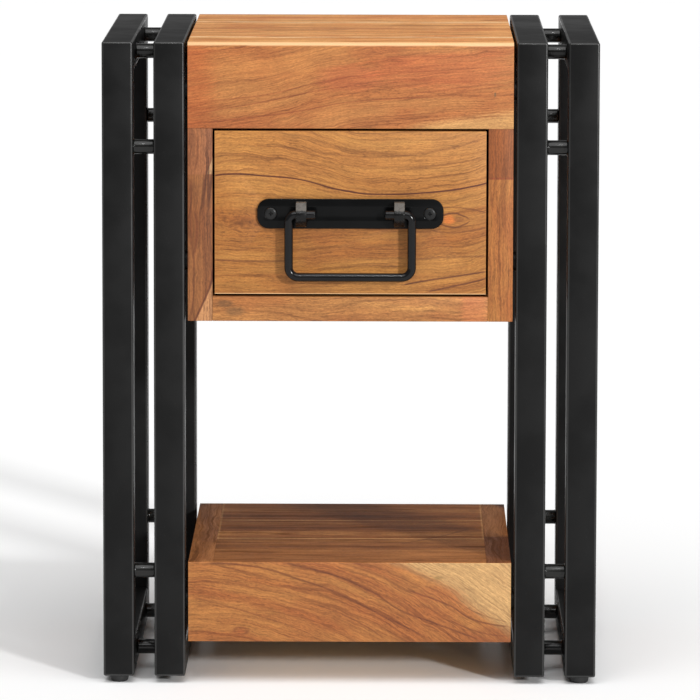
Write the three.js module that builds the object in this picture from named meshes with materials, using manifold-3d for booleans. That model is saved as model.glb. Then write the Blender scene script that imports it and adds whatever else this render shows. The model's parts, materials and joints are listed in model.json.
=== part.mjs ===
// Side table with one drawer. A wooden cabinet and a wooden shelf hang between two steel side
// frames. Each side frame is two rectangular loops of square tube joined by short round rods.
// Millimetres, +Z up, front towards -Y, x = 0 on the middle plane and z = 0 on the floor.
import * as THREE from 'three';
import { mergeVertices } from 'three/addons/utils/BufferGeometryUtils.js';
import Module from 'manifold-3d';

const wasm = await Module();
wasm.setup();

// Overall size, feet included and handle left out.
const WIDTH = 400;
const DEPTH = 300;
const HEIGHT = 523;

// Side frames.
const TUBE = 25;
const TUBE_WALL = 1.5;
const TUBE_CORNER = 2;
const LOOP_SPACING = 16.5; // clear gap between the outer and inner loop of one side
const ROD_RADIUS = 6;
const LEG_ROD_INSET = 85.5; // from a loop's top or bottom edge to the rods on its legs
const RAIL_ROD_INSET = 66; // from a loop's front or back edge to the rods on its rails

// Feet, pushed into the outer loops from below.
const FOOT_HEIGHT = 6;
const FOOT_TOP_RADIUS = 8;
const FOOT_BASE_RADIUS = 7;
const STEM_RADIUS = 3;
const STEM_HEIGHT = 8;

// Cabinet, top and shelf.
const WOOD_GAP = 2.5; // between the wood and the inner loops
const BOARD = 20;
const TOP_THICKNESS = 69.5;
const CABINET_BASE = 297.5;
const BACK_BOARD = 8;
const BACK_RECESS = 2;
const SHELF_BASE = 35;
const SHELF_THICKNESS = 65.5;
const SHELF_FLOOR = 6;

// Drawer.
const DRAWER_FRONT = 18;
const DRAWER_BOARD = 12;
const DRAWER_FLOOR = 5;
const DRAWER_FLOOR_HEIGHT = 7.5; // from the drawer's underside to the floor's underside
const DRAWER_SIDE_HEIGHT = 118;
const FRONT_SIDE_GAP = 1.75;
const FRONT_TOP_GAP = 2;
const FRONT_BOTTOM_GAP = 2.25;
const RUNNING_GAP = 0.4; // under the drawer sides
const SIDE_PLAY = 2; // between a drawer side and the cabinet
const REAR_PLAY = 4; // behind the closed drawer
const GROOVE_DEPTH = 5;
const FIT_GAP = 0.3;

// Handle.
const HANDLE_Z = 385;
const PLATE_LENGTH = 150;
const PLATE_HEIGHT = 24;
const PLATE_THICKNESS = 2.5;
const PLATE_CORNER = 9.5;
const SCREW_SPACING = 128;
const SCREW_HEAD_RADIUS = 4.75;
const SCREW_HEAD_HEIGHT = 2.4;
const SCREW_PROUD = 0.5;
const SCREW_SHANK_RADIUS = 2;
const SCREW_LENGTH = 16;
const WIRE_RADIUS = 3.5;
const WIRE_STAND_OFF = 8; // from the plate to the bail's pivot axis
const BAIL_LEG_X = 49.5;
const BAIL_END_X = 28;
const BAIL_DROP = 50.5;
const BAIL_TOP_BEND = 5.5;
const BAIL_BOTTOM_BEND = 8;
const EYE_X = 39.5;
const EYE_WIDTH = 8.5;
const EYE_NOSE = 6.5; // from the pivot axis to the eye's front face
const EYE_HALF_HEIGHT = 10;
const EYE_BORE_RADIUS = 3.8;

// Places worked out from the sizes above. The handle reaches out in front of the drawer, and the
// whole box, handle included, is centred on y = 0.
const HANDLE_REACH = PLATE_THICKNESS + WIRE_STAND_OFF + EYE_NOSE;
const FRONT = -(DEPTH - HANDLE_REACH) / 2;
const BACK = FRONT + DEPTH;
const OUTER_LOOP_X = (WIDTH - TUBE) / 2;
const INNER_LOOP_X = OUTER_LOOP_X - TUBE - LOOP_SPACING;
const WOOD_HALF = INNER_LOOP_X - TUBE / 2 - WOOD_GAP;
const LOOP_HEIGHT = HEIGHT - FOOT_HEIGHT;
const TOP_BASE = HEIGHT - TOP_THICKNESS;
const OPENING_HALF = WOOD_HALF - BOARD;
const OPENING_BASE = CABINET_BASE + BOARD;
const SHELF_TOP = SHELF_BASE + SHELF_THICKNESS;
const DRAWER_BASE = OPENING_BASE + RUNNING_GAP;
const DRAWER_HALF = OPENING_HALF - SIDE_PLAY;
const DRAWER_BACK = BACK - BACK_RECESS - BACK_BOARD - REAR_PLAY;
const BACK_AT_OPENING = BACK - BACK_RECESS - BACK_BOARD;
const DRAWER_FLOOR_BASE = DRAWER_BASE + DRAWER_FLOOR_HEIGHT;
const PIVOT_Y = FRONT - PLATE_THICKNESS - WIRE_STAND_OFF;

function finish(color, roughness, metalness) {
  return new THREE.MeshStandardMaterial({ color, roughness, metalness });
}

const BLACK_STEEL = finish(0x2a2a2a, 0.5, 0.6);
const HANDLE_STEEL = finish(0x17191a, 0.42, 0.7);
const SCREW_STEEL = finish(0x3a3b3a, 0.4, 0.8);
const FOOT_PLASTIC = finish(0x181818, 0.7, 0);
const TOP_WOOD = finish(0xc77f4b, 0.5, 0);
const CABINET_WOOD = finish(0xb9754a, 0.5, 0);
const DRAWER_FRONT_WOOD = finish(0xcc955c, 0.5, 0);
const SHELF_WOOD = finish(0xc08048, 0.5, 0);
const INNER_WOOD = finish(0xcfae84, 0.65, 0);

function part(name, geometry, material) {
  const mesh = new THREE.Mesh(geometry, material);
  mesh.name = name;
  return mesh;
}

// ---- Geometry helpers ----

function outline(points) {
  return new THREE.Shape(points.map(([a, b]) => new THREE.Vector2(a, b)));
}

function circle(radius, count, Kind = THREE.Path) {
  const points = [];
  for (let i = 0; i < count; i += 1) {
    const angle = (2 * Math.PI * i) / count;
    points.push(new THREE.Vector2(radius * Math.cos(angle), radius * Math.sin(angle)));
  }
  return new Kind(points);
}

function roundedRectangle(width, height, radius, arcSteps) {
  const points = [];
  for (let corner = 0; corner < 4; corner += 1) {
    const cx = (width / 2 - radius) * (corner === 0 || corner === 3 ? 1 : -1);
    const cy = (height / 2 - radius) * (corner < 2 ? 1 : -1);
    for (let i = 0; i <= arcSteps; i += 1) {
      const angle = (Math.PI / 2) * (corner + i / arcSteps);
      points.push([cx + radius * Math.cos(angle), cy + radius * Math.sin(angle)]);
    }
  }
  return outline(points);
}

function extrude(shape, length) {
  return new THREE.ExtrudeGeometry(shape, { depth: length, steps: 1, bevelEnabled: false });
}

// A profile drawn in (y, z), extruded from x0 to x1.
function alongX(shape, x0, x1) {
  const axes = new THREE.Matrix4().makeBasis(
    new THREE.Vector3(0, 1, 0),
    new THREE.Vector3(0, 0, 1),
    new THREE.Vector3(1, 0, 0),
  );
  return extrude(shape, x1 - x0).applyMatrix4(axes).translate(x0, 0, 0);
}

// A profile drawn in (x, z), extruded from y0 to y1.
function alongY(shape, y0, y1) {
  const axes = new THREE.Matrix4().makeBasis(
    new THREE.Vector3(1, 0, 0),
    new THREE.Vector3(0, 0, 1),
    new THREE.Vector3(0, -1, 0),
  );
  return extrude(shape, y1 - y0).applyMatrix4(axes).translate(0, y1, 0);
}

function box(x0, x1, y0, y1, z0, z1) {
  const geometry = new THREE.BoxGeometry(x1 - x0, y1 - y0, z1 - z0);
  return geometry.translate((x0 + x1) / 2, (y0 + y1) / 2, (z0 + z1) / 2);
}

function solidOf(geometry) {
  const bare = geometry.clone();
  bare.deleteAttribute('normal');
  bare.deleteAttribute('uv');
  const merged = mergeVertices(bare);
  return new wasm.Manifold(new wasm.Mesh({
    numProp: 3,
    vertProperties: new Float32Array(merged.getAttribute('position').array),
    triVerts: new Uint32Array(merged.getIndex().array),
  }));
}

function geometryOf(solid) {
  const mesh = solid.getMesh();
  const geometry = new THREE.BufferGeometry();
  geometry.setAttribute('position', new THREE.BufferAttribute(mesh.vertProperties, 3));
  geometry.setIndex(new THREE.BufferAttribute(mesh.triVerts, 1));
  geometry.computeVertexNormals();
  return geometry;
}

function cut(geometry, cutters) {
  let solid = solidOf(geometry);
  for (const cutter of cutters) {
    solid = solid.subtract(solidOf(cutter));
  }
  return geometryOf(solid);
}

// ---- Side frames ----

// A square tube along local +Z. Both ends are mitred at 45 degrees: the side at -Y, which is the
// outside of the loop, keeps the whole length.
function mitredTube(length) {
  const section = roundedRectangle(TUBE, TUBE, TUBE_CORNER, 3);
  const bore = TUBE / 2 - TUBE_WALL;
  section.holes.push(new THREE.Path([
    new THREE.Vector2(-bore, -bore),
    new THREE.Vector2(-bore, bore),
    new THREE.Vector2(bore, bore),
    new THREE.Vector2(bore, -bore),
  ]));
  const geometry = extrude(section, length);
  const position = geometry.getAttribute('position');
  for (let i = 0; i < position.count; i += 1) {
    const inset = position.getY(i) + TUBE / 2;
    const atStart = position.getZ(i) < length / 2;
    position.setZ(i, atStart ? inset : length - inset);
  }
  return geometry;
}

function railWithFootHoles() {
  const hole = new THREE.CylinderGeometry(
    STEM_RADIUS + FIT_GAP,
    STEM_RADIUS + FIT_GAP,
    4 * TUBE_WALL,
    24,
  );
  const places = [TUBE / 2, DEPTH - TUBE / 2];
  return cut(mitredTube(DEPTH), places.map((z) => hole.clone().translate(0, -TUBE / 2, z)));
}

function loop(name, isOuter) {
  const group = new THREE.Group();
  const frontLeg = part(`${name}_front_leg`, mitredTube(LOOP_HEIGHT), BLACK_STEEL);
  frontLeg.position.set(0, FRONT + TUBE / 2, FOOT_HEIGHT);
  const backLeg = part(`${name}_back_leg`, mitredTube(LOOP_HEIGHT), BLACK_STEEL);
  backLeg.position.set(0, BACK - TUBE / 2, FOOT_HEIGHT);
  backLeg.rotation.z = Math.PI;
  const topRail = part(`${name}_top_rail`, mitredTube(DEPTH), BLACK_STEEL);
  topRail.position.set(0, FRONT, HEIGHT - TUBE / 2);
  topRail.rotation.x = -Math.PI / 2;
  const bottomGeometry = isOuter ? railWithFootHoles() : mitredTube(DEPTH);
  const bottomRail = part(`${name}_bottom_rail`, bottomGeometry, BLACK_STEEL);
  bottomRail.position.set(0, BACK, FOOT_HEIGHT + TUBE / 2);
  bottomRail.rotation.x = Math.PI / 2;
  group.add(frontLeg, backLeg, topRail, bottomRail);
  return group;
}

// The eight rods of one side: [name, y, z].
function rodPlaces() {
  const frontY = FRONT + TUBE / 2;
  const backY = BACK - TUBE / 2;
  const lowZ = FOOT_HEIGHT + TUBE / 2;
  const highZ = HEIGHT - TUBE / 2;
  return [
    ['front_upper', frontY, HEIGHT - LEG_ROD_INSET],
    ['front_lower', frontY, FOOT_HEIGHT + LEG_ROD_INSET],
    ['back_upper', backY, HEIGHT - LEG_ROD_INSET],
    ['back_lower', backY, FOOT_HEIGHT + LEG_ROD_INSET],
    ['top_front', FRONT + RAIL_ROD_INSET, highZ],
    ['top_back', BACK - RAIL_ROD_INSET, highZ],
    ['bottom_front', FRONT + RAIL_ROD_INSET, lowZ],
    ['bottom_back', BACK - RAIL_ROD_INSET, lowZ],
  ];
}

function rod(name, y, z) {
  const geometry = new THREE.CylinderGeometry(ROD_RADIUS, ROD_RADIUS, LOOP_SPACING, 24);
  const mesh = part(name, geometry, BLACK_STEEL);
  mesh.rotation.z = Math.PI / 2;
  mesh.position.set(0, y, z);
  return mesh;
}

// A tapered glide with a stem that stands in the rail's hole.
function foot(name, y) {
  const rim = 0.8;
  const profile = [
    [0, 0],
    [FOOT_BASE_RADIUS - rim, 0],
    [FOOT_BASE_RADIUS, rim],
    [FOOT_TOP_RADIUS, FOOT_HEIGHT],
    [STEM_RADIUS, FOOT_HEIGHT],
    [STEM_RADIUS, FOOT_HEIGHT + STEM_HEIGHT - rim],
    [STEM_RADIUS - rim, FOOT_HEIGHT + STEM_HEIGHT],
    [0, FOOT_HEIGHT + STEM_HEIGHT],
  ];
  const points = profile.map(([radius, height]) => new THREE.Vector2(radius, height));
  const mesh = part(name, new THREE.LatheGeometry(points, 24), FOOT_PLASTIC);
  mesh.rotation.x = Math.PI / 2;
  mesh.position.set(0, y, 0);
  return mesh;
}

function sideFrame(sideName, sign) {
  const group = new THREE.Group();
  const outer = loop(`${sideName}_outer`, true);
  outer.position.x = sign * OUTER_LOOP_X;
  const inner = loop(`${sideName}_inner`, false);
  inner.position.x = sign * INNER_LOOP_X;
  const rods = new THREE.Group();
  rods.position.x = (sign * (OUTER_LOOP_X + INNER_LOOP_X)) / 2;
  for (const [place, y, z] of rodPlaces()) {
    rods.add(rod(`${sideName}_rod_${place}`, y, z));
  }
  const feet = new THREE.Group();
  feet.position.x = sign * OUTER_LOOP_X;
  feet.add(foot(`${sideName}_front_foot`, FRONT + TUBE / 2));
  feet.add(foot(`${sideName}_back_foot`, BACK - TUBE / 2));
  group.add(outer, inner, rods, feet);
  return group;
}

// ---- Top and shelf: boxes whose upper panel is mitred to the front and back boards ----

function mitredFront(base, top) {
  return outline([
    [FRONT, base],
    [FRONT + BOARD, base],
    [FRONT + BOARD, top - BOARD],
    [FRONT, top],
  ]);
}

function mitredBack(base, top) {
  return outline([
    [BACK - BOARD, base],
    [BACK, base],
    [BACK, top],
    [BACK - BOARD, top - BOARD],
  ]);
}

function mitredPanel(top) {
  return outline([
    [FRONT + BOARD, top - BOARD],
    [BACK - BOARD, top - BOARD],
    [BACK, top],
    [FRONT, top],
  ]);
}

function top() {
  const group = new THREE.Group();
  const front = alongX(mitredFront(TOP_BASE, HEIGHT), -WOOD_HALF, WOOD_HALF);
  const back = alongX(mitredBack(TOP_BASE, HEIGHT), -WOOD_HALF, WOOD_HALF);
  const panel = alongX(mitredPanel(HEIGHT), -WOOD_HALF, WOOD_HALF);
  group.add(part('top_front_board', front, TOP_WOOD));
  group.add(part('top_back_board', back, TOP_WOOD));
  group.add(part('top_panel', panel, TOP_WOOD));
  return group;
}

// An end board of the shelf. Its upper edge shows beside the panel and is mitred at both ends.
function shelfEnd() {
  return outline([
    [FRONT + BOARD, SHELF_BASE],
    [BACK - BOARD, SHELF_BASE],
    [BACK - BOARD, SHELF_TOP - BOARD],
    [BACK, SHELF_TOP],
    [FRONT, SHELF_TOP],
    [FRONT + BOARD, SHELF_TOP - BOARD],
  ]);
}

function shelf() {
  const group = new THREE.Group();
  const inner = WOOD_HALF - BOARD;
  const front = alongX(mitredFront(SHELF_BASE, SHELF_TOP), -WOOD_HALF, WOOD_HALF);
  const back = alongX(mitredBack(SHELF_BASE, SHELF_TOP), -WOOD_HALF, WOOD_HALF);
  const panel = alongX(mitredPanel(SHELF_TOP), -inner, inner);
  const floor = box(-inner, inner, FRONT + BOARD, BACK - BOARD, SHELF_BASE, SHELF_BASE + SHELF_FLOOR);
  group.add(part('shelf_front_board', front, SHELF_WOOD));
  group.add(part('shelf_back_board', back, SHELF_WOOD));
  group.add(part('shelf_panel', panel, SHELF_WOOD));
  group.add(part('shelf_underside', floor, INNER_WOOD));
  group.add(part('shelf_left_end', alongX(shelfEnd(), -WOOD_HALF, -inner), SHELF_WOOD));
  group.add(part('shelf_right_end', alongX(shelfEnd(), inner, WOOD_HALF), SHELF_WOOD));
  return group;
}

// ---- Cabinet ----

// A side panel is full depth below the top and runs up between the top's front and back boards.
function cabinetSide() {
  return outline([
    [FRONT, CABINET_BASE],
    [BACK, CABINET_BASE],
    [BACK, TOP_BASE],
    [BACK - BOARD, TOP_BASE],
    [BACK - BOARD, HEIGHT - BOARD],
    [FRONT + BOARD, HEIGHT - BOARD],
    [FRONT + BOARD, TOP_BASE],
    [FRONT, TOP_BASE],
  ]);
}

function cabinet() {
  const group = new THREE.Group();
  const bottom = box(-OPENING_HALF, OPENING_HALF, FRONT, BACK, CABINET_BASE, OPENING_BASE);
  const back = box(
    -OPENING_HALF,
    OPENING_HALF,
    BACK_AT_OPENING,
    BACK - BACK_RECESS,
    OPENING_BASE,
    TOP_BASE,
  );
  group.add(part('cabinet_left_side', alongX(cabinetSide(), -WOOD_HALF, -OPENING_HALF), CABINET_WOOD));
  group.add(part('cabinet_right_side', alongX(cabinetSide(), OPENING_HALF, WOOD_HALF), CABINET_WOOD));
  group.add(part('cabinet_bottom', bottom, CABINET_WOOD));
  group.add(part('cabinet_back', back, INNER_WOOD));
  return group;
}

// ---- Drawer ----

// The drawer's front board: a groove for the floor at the back and two pilot holes for the screws.
function drawerFront() {
  const rear = FRONT + DRAWER_FRONT;
  const grooveLow = DRAWER_FLOOR_BASE - FIT_GAP;
  const grooveHigh = DRAWER_FLOOR_BASE + DRAWER_FLOOR + FIT_GAP;
  const profile = outline([
    [FRONT, OPENING_BASE + FRONT_BOTTOM_GAP],
    [rear, OPENING_BASE + FRONT_BOTTOM_GAP],
    [rear, grooveLow],
    [rear - GROOVE_DEPTH, grooveLow],
    [rear - GROOVE_DEPTH, grooveHigh],
    [rear, grooveHigh],
    [rear, TOP_BASE - FRONT_TOP_GAP],
    [FRONT, TOP_BASE - FRONT_TOP_GAP],
  ]);
  const half = OPENING_HALF - FRONT_SIDE_GAP;
  const pilot = new THREE.CylinderGeometry(
    SCREW_SHANK_RADIUS + FIT_GAP,
    SCREW_SHANK_RADIUS + FIT_GAP,
    2 * SCREW_LENGTH,
    20,
  );
  const holes = [-1, 1].map((sign) => pilot.clone().translate((sign * SCREW_SPACING) / 2, FRONT, HANDLE_Z));
  return cut(alongX(profile, -half, half), holes);
}

// A side board from behind the front to the back, with the floor's groove on its inner face.
function drawerSide(sign) {
  const outer = sign * DRAWER_HALF;
  const inner = sign * (DRAWER_HALF - DRAWER_BOARD);
  const groove = sign * (DRAWER_HALF - DRAWER_BOARD + GROOVE_DEPTH);
  const low = DRAWER_FLOOR_BASE - FIT_GAP;
  const high = DRAWER_FLOOR_BASE + DRAWER_FLOOR + FIT_GAP;
  const top = DRAWER_BASE + DRAWER_SIDE_HEIGHT;
  const profile = outline([
    [outer, DRAWER_BASE],
    [outer, top],
    [inner, top],
    [inner, high],
    [groove, high],
    [groove, low],
    [inner, low],
    [inner, DRAWER_BASE],
  ]);
  return alongY(profile, FRONT + DRAWER_FRONT, DRAWER_BACK);
}

function drawer() {
  const group = new THREE.Group();
  const inner = DRAWER_HALF - DRAWER_BOARD;
  const floorHalf = inner + GROOVE_DEPTH - FIT_GAP;
  const floorFront = FRONT + DRAWER_FRONT - GROOVE_DEPTH + FIT_GAP;
  const floorTop = DRAWER_FLOOR_BASE + DRAWER_FLOOR;
  const sideTop = DRAWER_BASE + DRAWER_SIDE_HEIGHT;
  const floor = box(-floorHalf, floorHalf, floorFront, DRAWER_BACK, DRAWER_FLOOR_BASE, floorTop);
  const back = box(-inner, inner, DRAWER_BACK - DRAWER_BOARD, DRAWER_BACK, floorTop + FIT_GAP, sideTop);
  group.add(part('drawer_front', drawerFront(), DRAWER_FRONT_WOOD));
  group.add(part('drawer_left_side', drawerSide(-1), INNER_WOOD));
  group.add(part('drawer_right_side', drawerSide(1), INNER_WOOD));
  group.add(part('drawer_back', back, INNER_WOOD));
  group.add(part('drawer_floor', floor, INNER_WOOD));
  return group;
}

// ---- Handle ----

// A countersunk screw along local +Y, its head's rim at y = 0 and a cross recess in its face.
function screw() {
  const crown = 0.5;
  const neck = SCREW_HEAD_HEIGHT - crown;
  const profile = [
    [0, -crown],
    [SCREW_HEAD_RADIUS * 0.6, -crown * 0.7],
    [SCREW_HEAD_RADIUS, 0],
    [SCREW_SHANK_RADIUS, neck],
    [SCREW_SHANK_RADIUS, SCREW_LENGTH - SCREW_SHANK_RADIUS],
    [0, SCREW_LENGTH],
  ];
  const points = profile.map(([radius, y]) => new THREE.Vector2(radius, y));
  const slotLength = SCREW_HEAD_RADIUS * 1.1;
  const slotWidth = 1.1;
  const slotDepth = 1.6;
  const blade = new THREE.BoxGeometry(slotLength, 2 * slotDepth, slotWidth).translate(0, -crown, 0);
  const crossed = blade.clone().rotateY(Math.PI / 2);
  return cut(new THREE.LatheGeometry(points, 24), [blade, crossed]);
}

// The back plate, with rounded corners and a countersunk hole for each screw.
function plate() {
  const shape = roundedRectangle(PLATE_LENGTH, PLATE_HEIGHT, PLATE_CORNER, 6);
  const body = alongY(shape, -PLATE_THICKNESS, 0);
  const clearance = SCREW_SHANK_RADIUS + FIT_GAP;
  const mouth = SCREW_HEAD_RADIUS + FIT_GAP;
  const beyond = 1;
  const sink = [
    [0, -PLATE_THICKNESS - beyond],
    [mouth, -PLATE_THICKNESS - beyond],
    [mouth, -PLATE_THICKNESS],
    [clearance, -FIT_GAP],
    [clearance, beyond],
    [0, beyond],
  ];
  const points = sink.map(([radius, y]) => new THREE.Vector2(radius, y));
  const cutter = new THREE.LatheGeometry(points, 24);
  return cut(body, [-1, 1].map((sign) => cutter.clone().translate((sign * SCREW_SPACING) / 2, 0, 0)));
}

// An eye of the handle: a lug with bevelled upper and lower faces and a bore for the wire. Local
// origin on the pivot axis, its foot on the plate at y = WIRE_STAND_OFF.
function eye() {
  const bevelStart = 2;
  const noseHalf = 2;
  const shape = outline([
    [WIRE_STAND_OFF, -EYE_HALF_HEIGHT],
    [WIRE_STAND_OFF, EYE_HALF_HEIGHT],
    [bevelStart, EYE_HALF_HEIGHT],
    [-EYE_NOSE, noseHalf],
    [-EYE_NOSE, -noseHalf],
    [bevelStart, -EYE_HALF_HEIGHT],
  ]);
  shape.holes.push(circle(EYE_BORE_RADIUS, 24));
  return alongX(shape, -EYE_WIDTH / 2, EYE_WIDTH / 2);
}

// A circular arc in the x-z plane.
class Arc extends THREE.Curve {
  constructor(x, z, radius, from, to) {
    super();
    Object.assign(this, { x, z, radius, from, to });
  }

  getPoint(t, target = new THREE.Vector3()) {
    const angle = this.from + (this.to - this.from) * t;
    return target.set(
      this.x + this.radius * Math.cos(angle),
      0,
      this.z + this.radius * Math.sin(angle),
    );
  }
}

function line(x0, z0, x1, z1) {
  return new THREE.LineCurve3(new THREE.Vector3(x0, 0, z0), new THREE.Vector3(x1, 0, z1));
}

// The bail: one wire from the left free end, through the left eye, down, across and back up.
function bail() {
  const topX = BAIL_LEG_X - BAIL_TOP_BEND;
  const lowX = BAIL_LEG_X - BAIL_BOTTOM_BEND;
  const lowZ = BAIL_BOTTOM_BEND - BAIL_DROP;
  const quarter = Math.PI / 2;
  const path = new THREE.CurvePath();
  path.add(line(-BAIL_END_X, 0, -topX, 0));
  path.add(new Arc(-topX, -BAIL_TOP_BEND, BAIL_TOP_BEND, quarter, 2 * quarter));
  path.add(line(-BAIL_LEG_X, -BAIL_TOP_BEND, -BAIL_LEG_X, lowZ));
  path.add(new Arc(-lowX, lowZ, BAIL_BOTTOM_BEND, 2 * quarter, 3 * quarter));
  path.add(line(-lowX, -BAIL_DROP, lowX, -BAIL_DROP));
  path.add(new Arc(lowX, lowZ, BAIL_BOTTOM_BEND, 3 * quarter, 4 * quarter));
  path.add(line(BAIL_LEG_X, lowZ, BAIL_LEG_X, -BAIL_TOP_BEND));
  path.add(new Arc(topX, -BAIL_TOP_BEND, BAIL_TOP_BEND, 0, quarter));
  path.add(line(topX, 0, BAIL_END_X, 0));
  const section = circle(WIRE_RADIUS, 12, THREE.Shape);
  return new THREE.ExtrudeGeometry(section, { steps: 120, extrudePath: path, bevelEnabled: false });
}

function handle() {
  const group = new THREE.Group();
  const backPlate = part('handle_plate', plate(), HANDLE_STEEL);
  backPlate.position.set(0, FRONT, HANDLE_Z);
  const wire = part('handle_bail', bail(), HANDLE_STEEL);
  wire.position.set(0, PIVOT_Y, HANDLE_Z);
  group.add(backPlate, wire);
  for (const [sideName, sign] of [['left', -1], ['right', 1]]) {
    const lug = part(`handle_${sideName}_eye`, eye(), HANDLE_STEEL);
    lug.position.set(sign * EYE_X, PIVOT_Y, HANDLE_Z);
    const fixing = part(`handle_${sideName}_screw`, screw(), SCREW_STEEL);
    const rimY = FRONT - PLATE_THICKNESS - SCREW_PROUD;
    fixing.position.set((sign * SCREW_SPACING) / 2, rimY, HANDLE_Z);
    group.add(lug, fixing);
  }
  return group;
}

const table = new THREE.Group();
table.add(sideFrame('left', -1), sideFrame('right', 1), top(), cabinet(), shelf(), drawer(), handle());

export default table;
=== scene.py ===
import json
import math

import bmesh
import bpy
from mathutils import Matrix, Vector


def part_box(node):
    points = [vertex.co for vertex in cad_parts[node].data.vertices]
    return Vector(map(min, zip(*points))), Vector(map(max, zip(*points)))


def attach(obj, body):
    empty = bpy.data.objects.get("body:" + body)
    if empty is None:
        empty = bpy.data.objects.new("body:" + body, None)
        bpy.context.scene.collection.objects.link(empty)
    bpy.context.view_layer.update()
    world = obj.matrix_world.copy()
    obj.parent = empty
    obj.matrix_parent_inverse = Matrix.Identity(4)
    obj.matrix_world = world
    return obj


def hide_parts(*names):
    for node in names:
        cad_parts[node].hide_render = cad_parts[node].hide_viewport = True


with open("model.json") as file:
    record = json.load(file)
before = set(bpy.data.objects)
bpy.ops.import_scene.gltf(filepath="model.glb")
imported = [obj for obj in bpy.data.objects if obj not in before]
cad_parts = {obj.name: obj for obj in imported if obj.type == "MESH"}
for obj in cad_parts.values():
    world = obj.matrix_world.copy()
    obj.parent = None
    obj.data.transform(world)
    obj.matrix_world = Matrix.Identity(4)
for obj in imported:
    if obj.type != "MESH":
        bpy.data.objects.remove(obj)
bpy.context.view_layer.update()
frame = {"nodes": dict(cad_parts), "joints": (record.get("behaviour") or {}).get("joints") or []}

MM = 0.001

# Planes and sizes that the pieces share, read from the frame, in metres.
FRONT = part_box("top_front_board")[0].y
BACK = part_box("top_back_board")[1].y
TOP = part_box("top_panel")[1].z
TOP_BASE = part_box("top_front_board")[0].z
SHELF_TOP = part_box("shelf_panel")[1].z
SHELF_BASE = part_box("shelf_front_board")[0].z
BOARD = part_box("cabinet_bottom")[1].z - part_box("cabinet_bottom")[0].z
WOOD_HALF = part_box("top_panel")[1].x
TABLE_BODY, DRAWER_BODY, BAIL_BODY = "table", "drawer", "bail"
SIDES = ("left", "right")

# The camera's place in metres, its turns in degrees, and its focal length over its sensor's width.
CAMERA_X = 0.03094
CAMERA_AHEAD = 4.647
CAMERA_HEIGHT = 0.89585
CAMERA_PITCH, CAMERA_YAW, CAMERA_ROLL = 7.619, -0.382, 0.127
FOCAL_RATIO = 8.29671
SENSOR = 36.0

WORLD_STRENGTH = 0.27
FLOOR_SIZE = 80
FLOOR_ALBEDO = 0.93


# ---- Camera, light and floor ----

def look_from(location, pitch, yaw, roll):
    """A camera that looks along +Y, pitched down, turned a little to the left and rolled."""
    data = bpy.data.cameras.new("camera")
    data.sensor_width = SENSOR
    data.lens = SENSOR * FOCAL_RATIO
    data.clip_end = 100
    camera = bpy.data.objects.new("camera", data)
    aim = Matrix.Rotation(math.radians(-yaw), 4, "Z") @ Matrix.Rotation(math.radians(90 - pitch), 4, "X")
    camera.matrix_world = Matrix.Translation(location) @ aim @ Matrix.Rotation(math.radians(roll), 4, "Z")
    bpy.context.scene.collection.objects.link(camera)
    bpy.context.scene.camera = camera


def sun(name, azimuth, elevation, strength, spread):
    """A far soft light. Azimuth 0 is straight in front of the table, and 90 is to its right."""
    data = bpy.data.lights.new(name, "SUN")
    data.energy = strength
    data.angle = math.radians(spread)
    lamp = bpy.data.objects.new(name, data)
    turn, rise = math.radians(azimuth), math.radians(elevation)
    source = Vector((math.cos(rise) * math.sin(turn), -math.cos(rise) * math.cos(turn), math.sin(rise)))
    lamp.rotation_euler = source.to_track_quat("Z", "Y").to_euler()
    bpy.context.scene.collection.objects.link(lamp)


def studio():
    """A key from the front right, a broad overhead light, a narrow one for glints, and a dim world."""
    sun("key", azimuth=33, elevation=15, strength=2.4, spread=5)
    sun("overhead", azimuth=8, elevation=62, strength=2.15, spread=60)
    sun("glint", azimuth=-3, elevation=52, strength=0.2, spread=2)
    world = bpy.data.worlds.new("studio")
    world.use_nodes = True
    background = world.node_tree.nodes["Background"]
    background.inputs["Color"].default_value = (1, 1, 1, 1)
    background.inputs["Strength"].default_value = WORLD_STRENGTH
    bpy.context.scene.world = world
    view = bpy.context.scene.view_settings
    view.view_transform = "Standard"
    view.look = "None"


def floor():
    bpy.ops.mesh.primitive_plane_add(size=FLOOR_SIZE, location=(0, 0, 0))
    plane = bpy.context.object
    plane.name = "studio_floor"
    s = Shader("studio_floor")
    s.surface.inputs["Base Color"].default_value = (FLOOR_ALBEDO, FLOOR_ALBEDO, FLOOR_ALBEDO, 1)
    s.surface.inputs["Roughness"].default_value = 0.9
    plane.data.materials.append(s.material)


# ---- Shader building ----

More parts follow.
